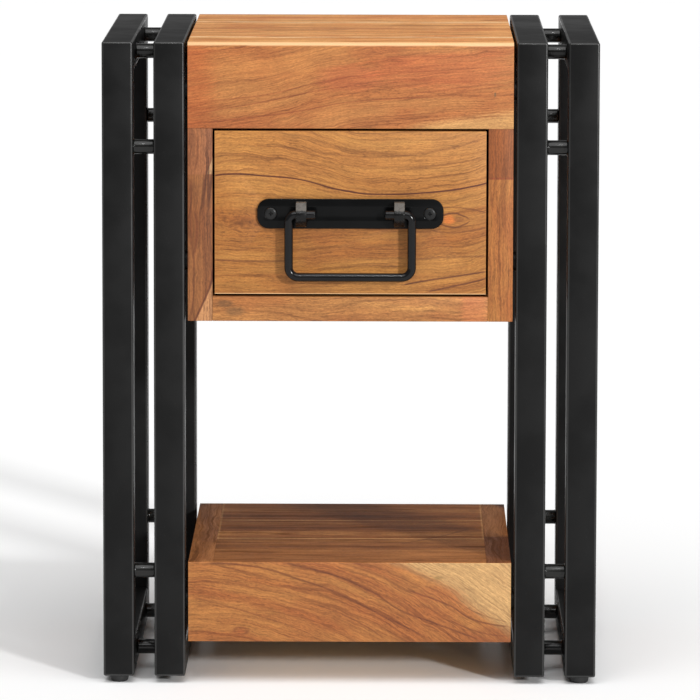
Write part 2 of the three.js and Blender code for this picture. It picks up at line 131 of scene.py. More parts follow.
class Shader:
    """Builds one material's nodes. Lengths inside it are millimetres in the object's rest frame."""

    def __init__(self, name):
        self.material = bpy.data.materials.new(name)
        self.material.use_nodes = True
        self.tree = self.material.node_tree
        self.tree.nodes.clear()
        output = self.tree.nodes.new("ShaderNodeOutputMaterial")
        self.surface = self.tree.nodes.new("ShaderNodeBsdfPrincipled")
        self.tree.links.new(self.surface.outputs["BSDF"], output.inputs["Surface"])

    def feed(self, socket, value):
        """Links a socket into another one, or sets a plain value on it."""
        if isinstance(value, bpy.types.NodeSocket):
            self.tree.links.new(value, socket)
        elif value is not None:
            socket.default_value = value

    def finish(self, **inputs):
        """Feeds the surface's inputs, named with underscores for spaces, and returns the material."""
        for name, value in inputs.items():
            self.feed(self.surface.inputs[name.replace("_", " ")], value)
        return self.material

    def add(self, kind, **settings):
        node = self.tree.nodes.new(kind)
        for key, value in settings.items():
            setattr(node, key, value)
        return node

    def fed(self, node, values):
        """Feeds a node's inputs in their order, and returns its first output."""
        for socket, value in zip(node.inputs, values):
            self.feed(socket, value)
        return node.outputs[0]

    def math(self, operation, *values):
        return self.fed(self.add("ShaderNodeMath", operation=operation), values)

    def sub(self, a, b):
        return self.math("SUBTRACT", a, b)

    def mul(self, a, b):
        return self.math("MULTIPLY", a, b)

    def linear(self, value, factor, start):
        """value * factor + start."""
        return self.math("MULTIPLY_ADD", value, factor, start)

    def gap(self, a, b):
        """How far apart two numbers are."""
        return self.math("ABSOLUTE", self.sub(a, b))

    def length(self, a, b):
        """Length of the vector (a, b)."""
        return self.math("SQRT", self.math("ADD", self.mul(a, a), self.mul(b, b)))

    def ragged(self, value, noise, amount):
        """Moves a value by up to half of amount either way, as noise goes from 0 to 1."""
        return self.linear(self.sub(noise, 0.5), amount, value)

    def vector(self, x, y, z):
        return self.fed(self.add("ShaderNodeCombineXYZ"), (x, y, z))

    def place(self):
        """The point's x, y and z in millimetres."""
        in_mm = self.add("ShaderNodeVectorMath", operation="SCALE")
        self.feed(in_mm.inputs[0], self.add("ShaderNodeTexCoord").outputs["Object"])
        in_mm.inputs["Scale"].default_value = 1 / MM
        parts = self.add("ShaderNodeSeparateXYZ")
        self.feed(parts.inputs[0], in_mm.outputs[0])
        return list(parts.outputs)

    def noise(self, vector, scale=1.0, detail=2.0, roughness=0.5):
        node = self.add("ShaderNodeTexNoise")
        self.feed(node.inputs["Vector"], vector)
        node.inputs["Scale"].default_value = scale
        node.inputs["Detail"].default_value = detail
        node.inputs["Roughness"].default_value = roughness
        return node.outputs["Fac"]

    def smooth(self, value, low, high, out_low=0.0, out_high=1.0):
        """Goes smoothly from out_low to out_high as value goes from low to high."""
        node = self.add("ShaderNodeMapRange", interpolation_type="SMOOTHSTEP")
        self.feed(node.inputs["Value"], value)
        ends = sorted(((low, out_low), (high, out_high)))
        for (value_in, value_out), suffix in zip(ends, ("Min", "Max")):
            node.inputs[f"From {suffix}"].default_value = value_in
            node.inputs[f"To {suffix}"].default_value = value_out
        return node.outputs["Result"]

    def curve(self, value, points):
        """A smooth curve through (value, result) points, fitted inside the node's unit square."""
        xs = [x for x, y in points]
        ys = [y for x, y in points]
        low, high = min(ys) - 1, max(ys) + 1
        node = self.add("ShaderNodeFloatCurve")
        curve = node.mapping.curves[0]
        inside = [((x - xs[0]) / (xs[-1] - xs[0]), (y - low) / (high - low)) for x, y in points]
        curve.points[0].location = inside[0]
        curve.points[1].location = inside[-1]
        for x, y in inside[1:-1]:
            curve.points.new(x, y)
        node.mapping.update()
        span = self.add("ShaderNodeMapRange")
        self.feed(span.inputs["Value"], value)
        span.inputs["From Min"].default_value = xs[0]
        span.inputs["From Max"].default_value = xs[-1]
        self.feed(node.inputs["Value"], span.outputs["Result"])
        return self.linear(node.outputs[0], high - low, low)

    def blend(self, factor, a, b):
        """Colour a where factor is 0, and colour b where it is 1."""
        node = self.add("ShaderNodeMix", data_type="RGBA")
        self.feed(node.inputs[0], factor)
        for socket, value in ((node.inputs[6], a), (node.inputs[7], b)):
            self.feed(socket, tuple(value) + (1,) if isinstance(value, tuple) else value)
        return node.outputs[2]

    def shade(self, noise, colour, low, high):
        """Multiplies a colour by a number that goes from low to high with the noise."""
        node = self.add("ShaderNodeVectorMath", operation="SCALE")
        self.feed(node.inputs[0], colour)
        self.feed(node.inputs["Scale"], self.smooth(noise, 0.3, 0.7, low, high))
        return node.outputs[0]

    def bump(self, height, depth):
        """Relief of the given depth in millimetres where height goes from 0 to 1."""
        node = self.add("ShaderNodeBump")
        node.inputs["Strength"].default_value = 1.0
        node.inputs["Distance"].default_value = depth * MM
        self.feed(node.inputs["Height"], height)
        return node.outputs["Normal"]


def srgb(red, green, blue):
    """Linear colour from 0-255 display values."""
    def linear(value):
        value /= 255
        return value / 12.92 if value <= 0.04045 else ((value + 0.055) / 1.055) ** 2.4
    return (linear(red), linear(green), linear(blue))


def scaled(values, factor):
    return tuple(factor * value for value in values)


# ---- Acacia ----

# A board's own directions as axes of the frame: along the grain, across it, and into the board.
UPRIGHT_ALONG_X, FLAT_ALONG_X, FLAT_ALONG_Y, UPRIGHT_ALONG_Z = (0, 2, 1), (0, 1, 2), (1, 0, 2), (2, 0, 1)

PALE = srgb(194, 152, 94)
# The pale cream painted on the crowns of rounded arrises as their highlight.
ARRIS_HIGHLIGHT_COLOUR = srgb(220, 176, 128)
DARK_LINE = srgb(84, 42, 24)
RED_LINE = srgb(112, 52, 30)


class Board:
    """Places in one board, in millimetres from its centre: u along the grain, v across it and w into
    it. `layer` stays the same along one growth layer of the tree. `bands`, `cloud` and `fibre` are
    noises from 0 to 1, from broad to fine."""

    def __init__(self, s, centre, order, flow, rings, tilt, seed):
        self.s, self.seed = s, seed
        self.point = s.place()
        self.u, self.v, self.w = (s.sub(self.point[i], centre[i] / MM) for i in order)
        self.layer = self.growth_layer(flow, rings, tilt)
        self.bands = self.grain(0.004, 0.06, 1.7, 3.0, 0.6)
        self.cloud = s.noise(self.patch(0.05, 0.07, 23), 1.0, 3.0)
        self.fibre = self.grain(0.03, 0.95, 9.3, 3.0, 0.65)

    def growth_layer(self, flow, rings, tilt):
        """Layers follow flow along the board, or curve round the pith at rings, and wander a little."""
        s = self.s
        layer = self.v
        if rings:
            layer = s.length(s.sub(self.u, rings[0]), s.sub(self.v, rings[1]))
        elif flow:
            layer = s.sub(self.v, flow(s, self.u, self.v))
        layer = s.linear(self.w, tilt, layer)
        layer = s.ragged(layer, s.noise(self.patch(0.013, 0.02)), 12)
        return s.ragged(layer, s.noise(self.patch(0.09, 0.05)), 3)

    def patch(self, u_scale, v_scale, shift=0.0):
        """Coordinates for noise that doesn't follow the growth layers."""
        s = self.s
        return s.vector(s.mul(self.u, u_scale), s.mul(self.v, v_scale),
                        s.linear(self.w, v_scale, self.seed + shift))

    def grain(self, u_scale, layer_scale, shift, detail=2.0, roughness=0.5):
        """Noise that is drawn out along the growth layers."""
        s = self.s
        depth = s.linear(self.w, layer_scale, self.seed * 3 + shift)
        place = s.vector(s.mul(self.u, u_scale), s.mul(self.layer, layer_scale), depth)
        return s.noise(place, 1.0, detail, roughness)


def heartwood(s, at, tones, blotch):
    """Golden and middle bands, with redder patches."""
    golden, middle, deep = tones
    red = s.noise(at.patch(0.016, 0.04, 11), 1.0, 3.0)
    colour = s.blend(s.smooth(at.bands, 0.38, 0.6), golden, middle)
    colour = s.blend(s.smooth(red, 0.46, 0.68, 0.0, blotch), colour, deep)
    return s.blend(s.smooth(at.cloud, 0.52, 0.7, 0.0, 0.14), colour, deep)


def dark_streaks(s, at, strength):
    """Soft dark streaks, and thin veins that run on along the board."""
    soft = s.smooth(at.grain(0.006, 0.24, 5.1, 2.0, 0.6), 0.54, 0.7, 0.0, strength)
    vein = s.smooth(s.gap(at.grain(0.0045, 0.1, 41.0, 1.0), 0.5), 0.034, 0.006, 0.0, 1.3 * strength)
    presence = s.smooth(at.bands, 0.36, 0.58, 0.3, 1.0)
    return s.math("MAXIMUM", soft, s.mul(vein, presence))


def open_pores(s, at):
    """Short dashes and specks along the grain, more of them in the darker bands."""
    dashes = s.smooth(at.grain(0.11, 0.95, 2.9), 0.56, 0.68, 0.0, 0.42)
    specks = s.smooth(at.grain(0.22, 0.8, 31.0, 2.0, 0.6), 0.58, 0.68, 0.0, 0.4)
    return s.mul(s.math("MAXIMUM", dashes, specks), s.smooth(at.bands, 0.36, 0.6, 0.6, 1.1))


def arris_highlight(s, at, y, z, reach):
    """A painted highlight: near 1 on the crown of an arris that runs along X, and 0 further than reach from
    it.
    """
    x_here, y_here, z_here = at.point
    gap = s.length(s.sub(y_here, y), s.sub(z_here, z))
    gap = s.ragged(gap, s.noise(s.vector(s.mul(x_here, 0.03), y, z)), 0.4 * reach)
    return s.smooth(gap, reach, 0.55 * reach, 0.0, 0.85)


def acacia(name, node, tones, grain=UPRIGHT_ALONG_X, flow=None, rings=None, seed=0.0, marks=(),
           streaks=0.4, blotch=0.5, tilt=0.15, highlit_arrises=(), sheen=0.3):
    """Solid acacia with an oiled finish for the board of a node. `flow` gives the height of the growth
    layers along the board, or `rings` gives a pith (u, v) that they curve round. `tones` are golden,
    middle and red, and the arris list gives the (y, z, reach) of rounded arrises whose crowns get a painted
    highlight."""
    s = Shader(name)
    at = Board(s, centre_of(node), grain, flow, rings, tilt, seed)
    deep = tones[2]
    colour = heartwood(s, at, tones, blotch)
    sapwood = 0.0
    for mark in marks:
        if mark["under"]:
            mask = mark["mask"](s, at)
            colour = s.blend(mask, colour, mark["colour"])
            sapwood = mask if mark["sapwood"] else sapwood
    dark = s.mul(dark_streaks(s, at, streaks), s.linear(sapwood, -0.7, 1.0))
    colour = s.blend(dark, colour, scaled(deep, 0.5))
    pores = s.mul(open_pores(s, at), s.linear(sapwood, -0.6, 1.0))
    colour = s.blend(pores, colour, scaled(deep, 0.35))
    for mark in marks:
        if not mark["under"]:
            colour = s.blend(mark["mask"](s, at), colour, mark["colour"])
    colour = s.shade(at.fibre, colour, 1.2, 0.8)
    colour = s.shade(at.cloud, colour, 1.04, 0.96)
    colour = s.shade(at.grain(0.4, 1.2, 7.7, 2.0, 0.7), colour, 1.17, 0.84)
    # Painted highlight on the crown of each listed arris.
    for y, z, reach in highlit_arrises:
        colour = s.blend(arris_highlight(s, at, y / MM, z / MM, reach), colour, ARRIS_HIGHLIGHT_COLOUR)
    relief = s.linear(at.fibre, 0.5, s.mul(pores, -1.0))
    roughness = s.smooth(s.math("ADD", at.fibre, dark), 0.2, 1.0, 0.4, 0.6)
    return s.finish(Base_Color=colour, Normal=s.bump(relief, 0.05), Roughness=roughness,
                    Specular_IOR_Level=sheen)


# ---- Marks on a board, in its own millimetres. A mask is a function of the shader and the board. ----

def tint(mask, colour, sapwood=False):
    """Colours the wood itself, under its streaks and pores."""
    return {"mask": mask, "colour": colour, "under": True, "sapwood": sapwood}


def line(points, width, strength, fade=6, colour=DARK_LINE):
    """A thin line through (u, v) points, a little ragged, which fades out at both ends."""
    first, last = points[0][0], points[-1][0]

    def mask(s, at):
        offset = s.ragged(s.sub(at.v, s.curve(at.u, points)), at.fibre, 1.0)
        core = s.smooth(s.math("ABSOLUTE", offset), width, width * 0.3, 0.0, strength)
        return s.mul(core, s.mul(s.smooth(at.u, first, first + fade), s.smooth(at.u, last, last - fade)))
    return {"mask": mask, "colour": colour, "under": False}


def spot(place, size, strength, colour, hollow=0.0):
    """A soft ellipse, slightly ragged along the fibres. A hollow one is a ring."""
    def mask(s, at):
        du = s.math("DIVIDE", s.sub(at.u, place[0]), size[0])
        dv = s.math("DIVIDE", s.sub(at.v, place[1]), size[1])
        radius = s.ragged(s.length(du, dv), at.fibre, 0.7)
        filled = s.smooth(radius, 1.0, 0.45, 0.0, strength)
        if hollow:
            filled = s.mul(filled, s.smooth(radius, hollow * 0.6, hollow))
        return filled
    return {"mask": mask, "colour": colour, "under": False}


def streak(place, width, strength, colour, drift=30.0):
    """A tint along the grain near v = place, which wanders, and comes and goes."""
    def mask(s, at):
        course = s.noise(s.vector(s.mul(at.u, 0.012), 0.0, place))
        middle = s.linear(course, drift, place - drift / 2)
        gap = s.ragged(s.gap(at.v, middle), at.fibre, width)
        presence = s.smooth(s.noise(s.vector(s.mul(at.u, 0.03), 7.0, place)), 0.3, 0.6, 0.3, 1.0)
        return s.mul(s.smooth(gap, width, width * 0.3, 0.0, strength), presence)
    return tint(mask, colour)


# ---- Wood finishes: one for each board, because every board is cut from another tree ----

def centre_of(node):
    low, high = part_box(node)
    return (low + high) / 2


TOP_TONES = (srgb(165, 108, 59), srgb(159, 97, 52), srgb(149, 78, 41))
TOP_FACE_TONES = (srgb(233, 168, 99), srgb(219, 148, 81), srgb(206, 126, 66))
DRAWER_TONES = (srgb(162, 110, 53), srgb(149, 94, 43), srgb(134, 74, 33))
SHELF_TONES = (srgb(155, 101, 52), srgb(145, 87, 44), srgb(133, 70, 36))
LEFT_TONES = (srgb(132, 83, 46), srgb(120, 72, 39), srgb(102, 54, 27))
RIGHT_TONES = (srgb(159, 105, 53), srgb(150, 92, 46), srgb(139, 77, 39))
RAIL_TONES = (srgb(175, 123, 67), srgb(161, 107, 58), srgb(144, 84, 44))
DARK_TONES = (srgb(164, 106, 58), srgb(144, 89, 46), srgb(119, 70, 37))
PLAIN_TONES = (srgb(214, 178, 130), srgb(204, 164, 116), srgb(190, 146, 98))
# How far the painted arris highlight reaches from the arris line, in millimetres.
ARRIS_HIGHLIGHT_REACH = 3.5


def rising_flow(s, u, v):
    """Layers that climb from left to right, as on the face of the top."""
    return s.curve(u, [(-131, -15), (-60, -4), (0, 11), (60, 17), (131, 20)])


def lower_right_sapwood(s, at):
    edge = s.curve(at.u, [(-131, -60), (20, -42), (60, -31), (95, -26), (131, -20)])
    return s.smooth(s.ragged(s.sub(at.v, edge), at.fibre, 14), 4, -5, 0.0, 0.6)


def top_finish():
    marks = [
        tint(lower_right_sapwood, PALE, sapwood=True),
        spot((75, 12), (75, 20), 0.36, srgb(172, 86, 50)),
        spot((-2, 6), (34, 14), 0.3, srgb(172, 88, 56)),
        spot((-136, 2), (34, 60), 0.5, srgb(158, 78, 38)),
        spot((-70, 14), (60, 12), 0.3, srgb(186, 122, 66)),
        line([(-131, -24), (-97, -18), (-74, -14), (-55, -10), (-36, -6), (0, 0), (30, 4)], 0.8, 0.5,
              fade=20, colour=RED_LINE),
        line([(-118, -13), (-78, -9), (-60, -6), (-40, -1), (-22, 3), (10, 9)], 0.7, 0.45, fade=16,
              colour=RED_LINE),
        line([(-124, -31), (-80, -26), (-38, -20), (-12, -15), (24, -11), (70, -9)], 0.8, 0.5, fade=16,
              colour=RED_LINE),
        line([(40, -7), (70, -4), (100, 0), (126, 2)], 0.7, 0.4, fade=14, colour=RED_LINE),
        line([(-10, 4), (30, 9), (60, 12), (120, 15)], 0.7, 0.3, fade=20, colour=RED_LINE),
        spot((116, -7), (1.1, 2.3), 0.8, srgb(96, 76, 52)),
    ]
    # The rounded front arris gets a painted highlight on its crown.
    return acacia("acacia_top_front", "top_front_board", TOP_TONES, flow=rising_flow, seed=3.1, marks=marks,
                  streaks=0.32, blotch=0.5, tilt=0.2, highlit_arrises=[(FRONT, TOP, ARRIS_HIGHLIGHT_REACH)])


def drawer_flow(s, u, v):
    """Layers that dip under the drawer's long dark line above, and rise gently below."""
    upper = s.curve(u, [(-109, 12), (-93, 13.5), (-69, 12), (-38, 8), (-13, 1.5), (15, -3), (41, -3),
                        (62, -2), (83, 0.5), (109, 6)])
    lower = s.curve(u, [(-109, 0), (0, 1), (60, 4), (109, 12)])
    share = s.smooth(v, -26, 10)
    return s.math("ADD", s.mul(upper, share), s.mul(lower, s.sub(1.0, share)))


def drawer_finish():
    """A long dark line over the handle, a knot to its right, and lines that rise at the lower right."""
    def paler_above(s, at):
        return s.smooth(at.v, 6, 36, 0.0, 0.35)

    marks = [
        tint(paler_above, srgb(184, 130, 70)),
        line([(-110, 29.5), (-93, 31.2), (-69, 29.6), (-52, 28.3), (-38, 26.2), (-24, 22.6), (-13, 19.5),
              (0, 17.2), (15, 15.2), (41, 15.2), (62, 16.5), (83, 18.8), (98, 21.5), (112, 25)], 1.05, 1.0,
              fade=2),
        line([(40, -59), (60, -55), (80, -52), (112, -47)], 1.0, 0.85),
        line([(60, -64), (80, -60), (112, -52.5)], 1.0, 0.8),
        line([(-112, -38), (-80, -39.5), (-46, -39)], 1.3, 0.55),
        line([(-30, -47), (-5, -44), (20, -42), (40, -45)], 2.0, 0.35),
        line([(50, -38), (75, -36), (112, -35)], 1.2, 0.45),
        line([(-60, 55), (-20, 48), (20, 45), (60, 49), (106, 60)], 1.4, 0.3),
        line([(30, 34), (60, 37), (112, 45)], 1.3, 0.3),
        line([(70, -5.5), (76, -1.5), (83, 0), (90, -2), (97, -5.5)], 1.0, 0.75, fade=3),
        line([(70, -7), (77, -10.5), (84, -11.5), (91, -9.5), (97, -6)], 1.0, 0.75, fade=3),
        line([(64, 1), (76, 4.5), (90, 4), (112, -1)], 0.9, 0.5),
        line([(64, -12), (78, -16), (92, -15), (112, -11)], 0.9, 0.5),
        spot((79.5, -5.4), (6.5, 4.6), 0.6, srgb(196, 104, 46)),
        spot((87.5, -5.2), (5.5, 3), 0.6, srgb(112, 66, 36)),
    ]
    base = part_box("drawer_front")[0]
    # The lower front edge gets a thin painted highlight.
    return acacia("acacia_drawer_front", "drawer_front", DRAWER_TONES, flow=drawer_flow, seed=7.7,
                  marks=marks, streaks=0.36, blotch=0.4, tilt=0.1, highlit_arrises=[(base.y, base.z, 0.7)])


# The shelf's front curves round a pith below its left end. Sapwood starts at a radius from it.
SHELF_PITH = (-130, -330)
SHELF_SAPWOOD = 402


def shelf_sapwood(s, at):
    radius = s.ragged(at.layer, at.fibre, 12)
    return s.mul(s.smooth(radius, SHELF_SAPWOOD - 9, SHELF_SAPWOOD + 4, 0.0, 0.8), s.smooth(at.u, 0, 40))


def shelf_front_finish():
    marks = [
        tint(shelf_sapwood, srgb(178, 143, 94), sapwood=True),
        line([(-118, 32), (-72, 28), (-41, 18.5), (-24, 13), (2, 2), (30, -13), (45, -20), (67, -32)], 1.2,
              0.6, fade=12),
        line([(-56, 32), (-14, 22.5), (19, 8), (42, -7), (70, -17.5), (109, -32)], 1.2, 0.6, fade=12),
        line([(-31, -1), (-4, -11), (30, -31)], 1.0, 0.45),
        line([(-128, 4), (-82, -9), (-38, -24), (-24, -32)], 0.9, 0.35),
        line([(45, 11), (53, 8), (80, -2), (103, -15), (131, -20)], 1.1, 0.65),
        line([(60, 14), (80, 5), (100, -7), (131, -17)], 0.8, 0.4),
        line([(78, -12), (95, -21), (112, -26), (131, -28)], 0.9, 0.5),
        line([(-10, 28), (20, 19), (50, 4), (66, -8)], 0.7, 0.35),
        spot((122, -27), (34, 11), 0.4, srgb(112, 56, 32)),
        spot((72, 6), (26, 9), 0.22, srgb(140, 68, 38)),
        spot((-88, -24), (9, 4.5), 0.7, srgb(104, 50, 28), hollow=0.6),
        spot((-88, -24), (5, 2.4), 0.55, srgb(132, 64, 34)),
        spot((72, 20), (5, 2), 0.6, srgb(120, 94, 54)),
    ]
    return acacia("acacia_shelf_front", "shelf_front_board", SHELF_TONES, rings=SHELF_PITH, seed=5.3,
                  marks=marks, streaks=0.4, blotch=0.35, tilt=0.05)


def left_side_finish():
    """Two staves, with a pale wedge above their seam and a pale corner at the lower front."""
    def upper_stave(s, at):
        return s.smooth(at.u, 15.6, 16.4, 0.0, 0.5)

    def wedge(s, at):
        inside = s.smooth(s.sub(at.v, s.linear(at.u, 0.35, -1.0)), 0.0, 1.5, 0.0, 0.75)
        return s.mul(inside, s.smooth(at.u, 16.0, 16.6))

    def corner(s, at):
        return s.smooth(s.sub(at.v, s.linear(at.u, 0.44, 41.0)), -1.0, 1.5, 0.0, 0.8)

    marks = [
        tint(upper_stave, srgb(145, 89, 58)),
        tint(wedge, srgb(185, 145, 101)),
        tint(corner, srgb(177, 126, 83)),
        line([(-52, -6), (-40, -3.4), (-26, -2.6), (-12, -4.5)], 1.6, 0.6),
        line([(-106, -6), (-100, -3), (-90, 1.4), (-80, 5.8), (-72, 8.8), (-60, 10)], 1.3, 0.85, fade=2),
        line([(-60, 5), (-20, 3), (16, 4)], 0.9, 0.45),
        line([(-100, -8), (-60, -5), (-30, -7.5), (14, -7)], 1.3, 0.5),
        line([(18, -5), (35, -2), (50, -3)], 1.3, 0.45),
    ]
    return acacia("acacia_left_side", "cabinet_left_side", LEFT_TONES, UPRIGHT_ALONG_Z, seed=40.0,
                  marks=marks, streaks=0.6)


def right_side_finish():
    """Two staves, the upper one darker, with a dark glue line between them."""
    def upper_stave(s, at):
        return s.smooth(at.u, 13.0, 13.8, 0.0, 0.9)

    def seam(s, at):
        return s.smooth(s.gap(at.u, 13.2), 1.2, 0.3, 0.0, 0.7)

    marks = [
        tint(upper_stave, srgb(124, 68, 34)),
        tint(seam, srgb(120, 52, 32)),
    ]
    return acacia("acacia_right_side", "cabinet_right_side", RIGHT_TONES, UPRIGHT_ALONG_Z, seed=44.0,
                  marks=marks)


def rail_finish():
    marks = [
        spot((-101, 4), (9, 4), 0.6, srgb(92, 66, 42)),
        spot((-93, -2), (10, 5), 0.6, srgb(104, 74, 46)),
        spot((100, 0), (14, 30), 0.4, srgb(184, 104, 64)),
    ]
    return acacia("acacia_cabinet_bottom", "cabinet_bottom", RAIL_TONES, seed=48.0, marks=marks, streaks=0.3)


def top_face_finish():
    marks = [
        streak(-97, 6, 0.95, srgb(246, 208, 156)),
        streak(-60, 14, 0.35, srgb(176, 112, 62)),
        streak(-5, 22, 0.45, srgb(172, 104, 56)),
        streak(60, 12, 0.7, srgb(244, 200, 146)),
        streak(110, 18, 0.4, srgb(206, 120, 66)),
        line([(-90, -25), (-40, -22), (10, -12)], 5, 0.4, fade=20),
        line([(10, 24), (60, 30), (126, 26)], 6, 0.4, fade=20),
        line([(-110, 60), (-60, 75), (-10, 80)], 5, 0.3, fade=20),
        line([(40, -70), (80, -64), (120, -70)], 4, 0.35, fade=16),
    ]
    # The rounded front and back arrises get a painted highlight on their crowns.
    return acacia("acacia_top_panel", "top_panel", TOP_FACE_TONES, FLAT_ALONG_X, seed=12.5, marks=marks,
                  streaks=0.75, blotch=0.7, highlit_arrises=[(FRONT, TOP, ARRIS_HIGHLIGHT_REACH), (BACK, TOP, ARRIS_HIGHLIGHT_REACH)])


def shelf_face_finish():
    """Dark planks along X, with pale seams between them and at the battens."""
    middle = centre_of("shelf_panel").y
    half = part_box("shelf_panel")[1].x / MM

    def across(share):
        """v at a share of the shelf's depth behind its front."""
        return (FRONT + share * (BACK - FRONT) - middle) / MM

    def seam(share, strength, colour):
        def mask(s, at):
            return s.smooth(s.gap(at.v, across(share)), 2.6, 1.0, 0.0, strength)
        return tint(mask, colour)

    def end_joint(s, at):
        near_end = s.smooth(s.math("ABSOLUTE", at.u), half - 2.2, half - 0.8, 0.0, 0.5)
        return s.mul(near_end, s.smooth(at.v, -40, -34))

    def back_planks(s, at):
        return s.smooth(at.v, across(0.39), across(0.4), 0.0, 0.6)

    marks = [
        tint(back_planks, srgb(152, 90, 42)),
        streak(-128, 10, 0.3, srgb(170, 114, 66), 12),
        streak(-72, 9, 0.4, srgb(104, 58, 30), 14),
        streak(-45, 7, 0.55, srgb(184, 126, 68), 8),
        streak(-8, 16, 0.75, srgb(200, 138, 78), 14),
        streak(20, 10, 0.4, srgb(96, 54, 30), 14),
        streak(44, 7, 0.55, srgb(188, 130, 72), 8),
        streak(82, 11, 0.5, srgb(92, 52, 30), 12),
        streak(112, 12, 0.6, srgb(184, 126, 72), 14),
        seam(0.195, 0.35, srgb(190, 134, 80)),
        seam(0.39, 0.85, srgb(206, 156, 100)),
        seam(0.7, 0.85, srgb(206, 154, 98)),
        tint(end_joint, srgb(206, 154, 98)),
        line([(40, -60), (75, -20), (100, 20)], 4, 0.4),
    ]
    return acacia("acacia_shelf_panel", "shelf_panel", DARK_TONES, FLAT_ALONG_X, seed=17.2, marks=marks,
                  streaks=0.36, sheen=0.1)


def shelf_end_finish(side, seed):
    """A batten across the end; the right one is of two lengths, the nearer one darker."""
    node = f"shelf_{side}_end"

    def nearer(s, at):
        return s.smooth(at.u, -20, -22, 0.0, 0.75)

    marks = [tint(nearer, srgb(104, 58, 34))] if side == "right" else []
    return acacia(f"acacia_{node}", node, DARK_TONES, FLAT_ALONG_Y, seed=seed, marks=marks, streaks=0.45,
                  sheen=0.1)


def pale_wood(name, node, grain, seed):
    return acacia(name, node, PLAIN_TONES, grain, seed=seed, streaks=0.15, blotch=0.2)


# ---- Paint, lacquer and plastic ----

def black_paint(name, colour, roughness, level, grain_size=1.1, relief=0.03, dust=0.25, coat=0.0):
    """Black paint with a fine orange-peel surface, slight cloudiness and specks of dust."""
    s = Shader(name)
    here = s.vector(*s.place())
    clouds = s.noise(here, 0.02, 3.0, 0.6)
    specks = s.smooth(s.noise(here, 0.55, 1.0, 0.4), 0.72, 0.78)
    base = s.blend(s.smooth(clouds, 0.35, 0.65), scaled(colour, 0.8), scaled(colour, 1.3))
    base = s.blend(s.mul(specks, dust), base, scaled(colour, 6))
    return s.finish(Base_Color=base,
                    Roughness=s.smooth(clouds, 0.3, 0.7, roughness - 0.05, roughness + 0.07),
                    Normal=s.bump(s.noise(here, 1 / grain_size, 2.0, 0.5), relief),
                    Specular_IOR_Level=level, Coat_Weight=coat, Coat_Roughness=0.14)


def lacquer_with_painted_highlight(name, height):
    """Black lacquer with a grey-brown painted highlight from a little above the given height, standing for
    the light on the upper faces.
    """
    s = Shader(name)
    x, y, z = s.place()
    here = s.vector(x, y, z)
    cloud = s.noise(here, 0.35, 2.0)
    painted_highlight = s.smooth(s.ragged(z, cloud, 2.0), height / MM + 3.0, height / MM + 4.4)
    painted_highlight = s.mul(painted_highlight, s.smooth(cloud, 0.2, 0.6, 0.5, 1.0))
    return s.finish(Base_Color=s.blend(painted_highlight, (0.003, 0.003, 0.003), (0.085, 0.076, 0.066)),
                    Roughness=s.smooth(cloud, 0.3, 0.7, 0.2, 0.34),
                    Normal=s.bump(s.noise(here, 0.8, 2.0), 0.02), Specular_IOR_Level=0.22)


def moulded_plastic(name, colour):
    s = Shader(name)
    grain = s.noise(s.vector(*s.place()), 2.2, 2.0)
    return s.finish(Base_Color=s.shade(grain, s.vector(*colour), 0.9, 1.15),
                    Roughness=s.smooth(grain, 0.3, 0.7, 0.55, 0.7), Normal=s.bump(grain, 0.02))


# ---- Mesh helpers ----

def piece(name, bm, materials, body, replaced, smooth_angle=35):
    """Finishes a bmesh as an object of the table."""
    mesh = bpy.data.meshes.new(name)
    bmesh.ops.recalc_face_normals(bm, faces=bm.faces)
    bm.to_mesh(mesh)
    bm.free()
    for material in materials:
        mesh.materials.append(material)
    mesh.polygons.foreach_set("use_smooth", [True] * len(mesh.polygons))
    mesh.set_sharp_from_angle(angle=math.radians(smooth_angle))
    obj = bpy.data.objects.new(name, mesh)
    bpy.context.scene.collection.objects.link(obj)
    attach(obj, body)
    if replaced:
        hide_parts(*replaced)
    return obj


def round_edges(bm, radius, segments=3, angle=35, skip=None, finish=0):
    """Rounds the edges sharper than an angle. `finish` is the material index of the new faces."""
    edges = []
    for edge in bm.edges:
        sharp = len(edge.link_faces) == 2 and abs(edge.calc_face_angle(0)) > math.radians(angle)
        if sharp and not (skip and skip(edge)):
            edges.append(edge)
    bmesh.ops.bevel(bm, geom=edges, offset=radius, segments=segments, profile=0.5,
                    affect="EDGES", clamp_overlap=True, material=finish)


def from_node(node):
    """The node's own solid with its flat faces whole, as a bmesh."""
    bm = bmesh.new()
    bm.from_mesh(frame["nodes"][node].data)
    bmesh.ops.remove_doubles(bm, verts=bm.verts, dist=0.02 * MM)
    bmesh.ops.dissolve_limit(bm, angle_limit=math.radians(1), verts=bm.verts, edges=bm.edges)
    return bm


def prism(profile, low, high):
    """A (y, z) outline extruded along X."""
    bm = bmesh.new()
    near = [bm.verts.new((low, y, z)) for y, z in profile]
    far = [bm.verts.new((high, y, z)) for y, z in profile]
    bm.faces.new(near)
    bm.faces.new(list(reversed(far)))
    count = len(profile)
    for i in range(count):
        j = (i + 1) % count
        bm.faces.new((near[i], far[i], far[j], near[j]))
    bm.normal_update()
    return bm


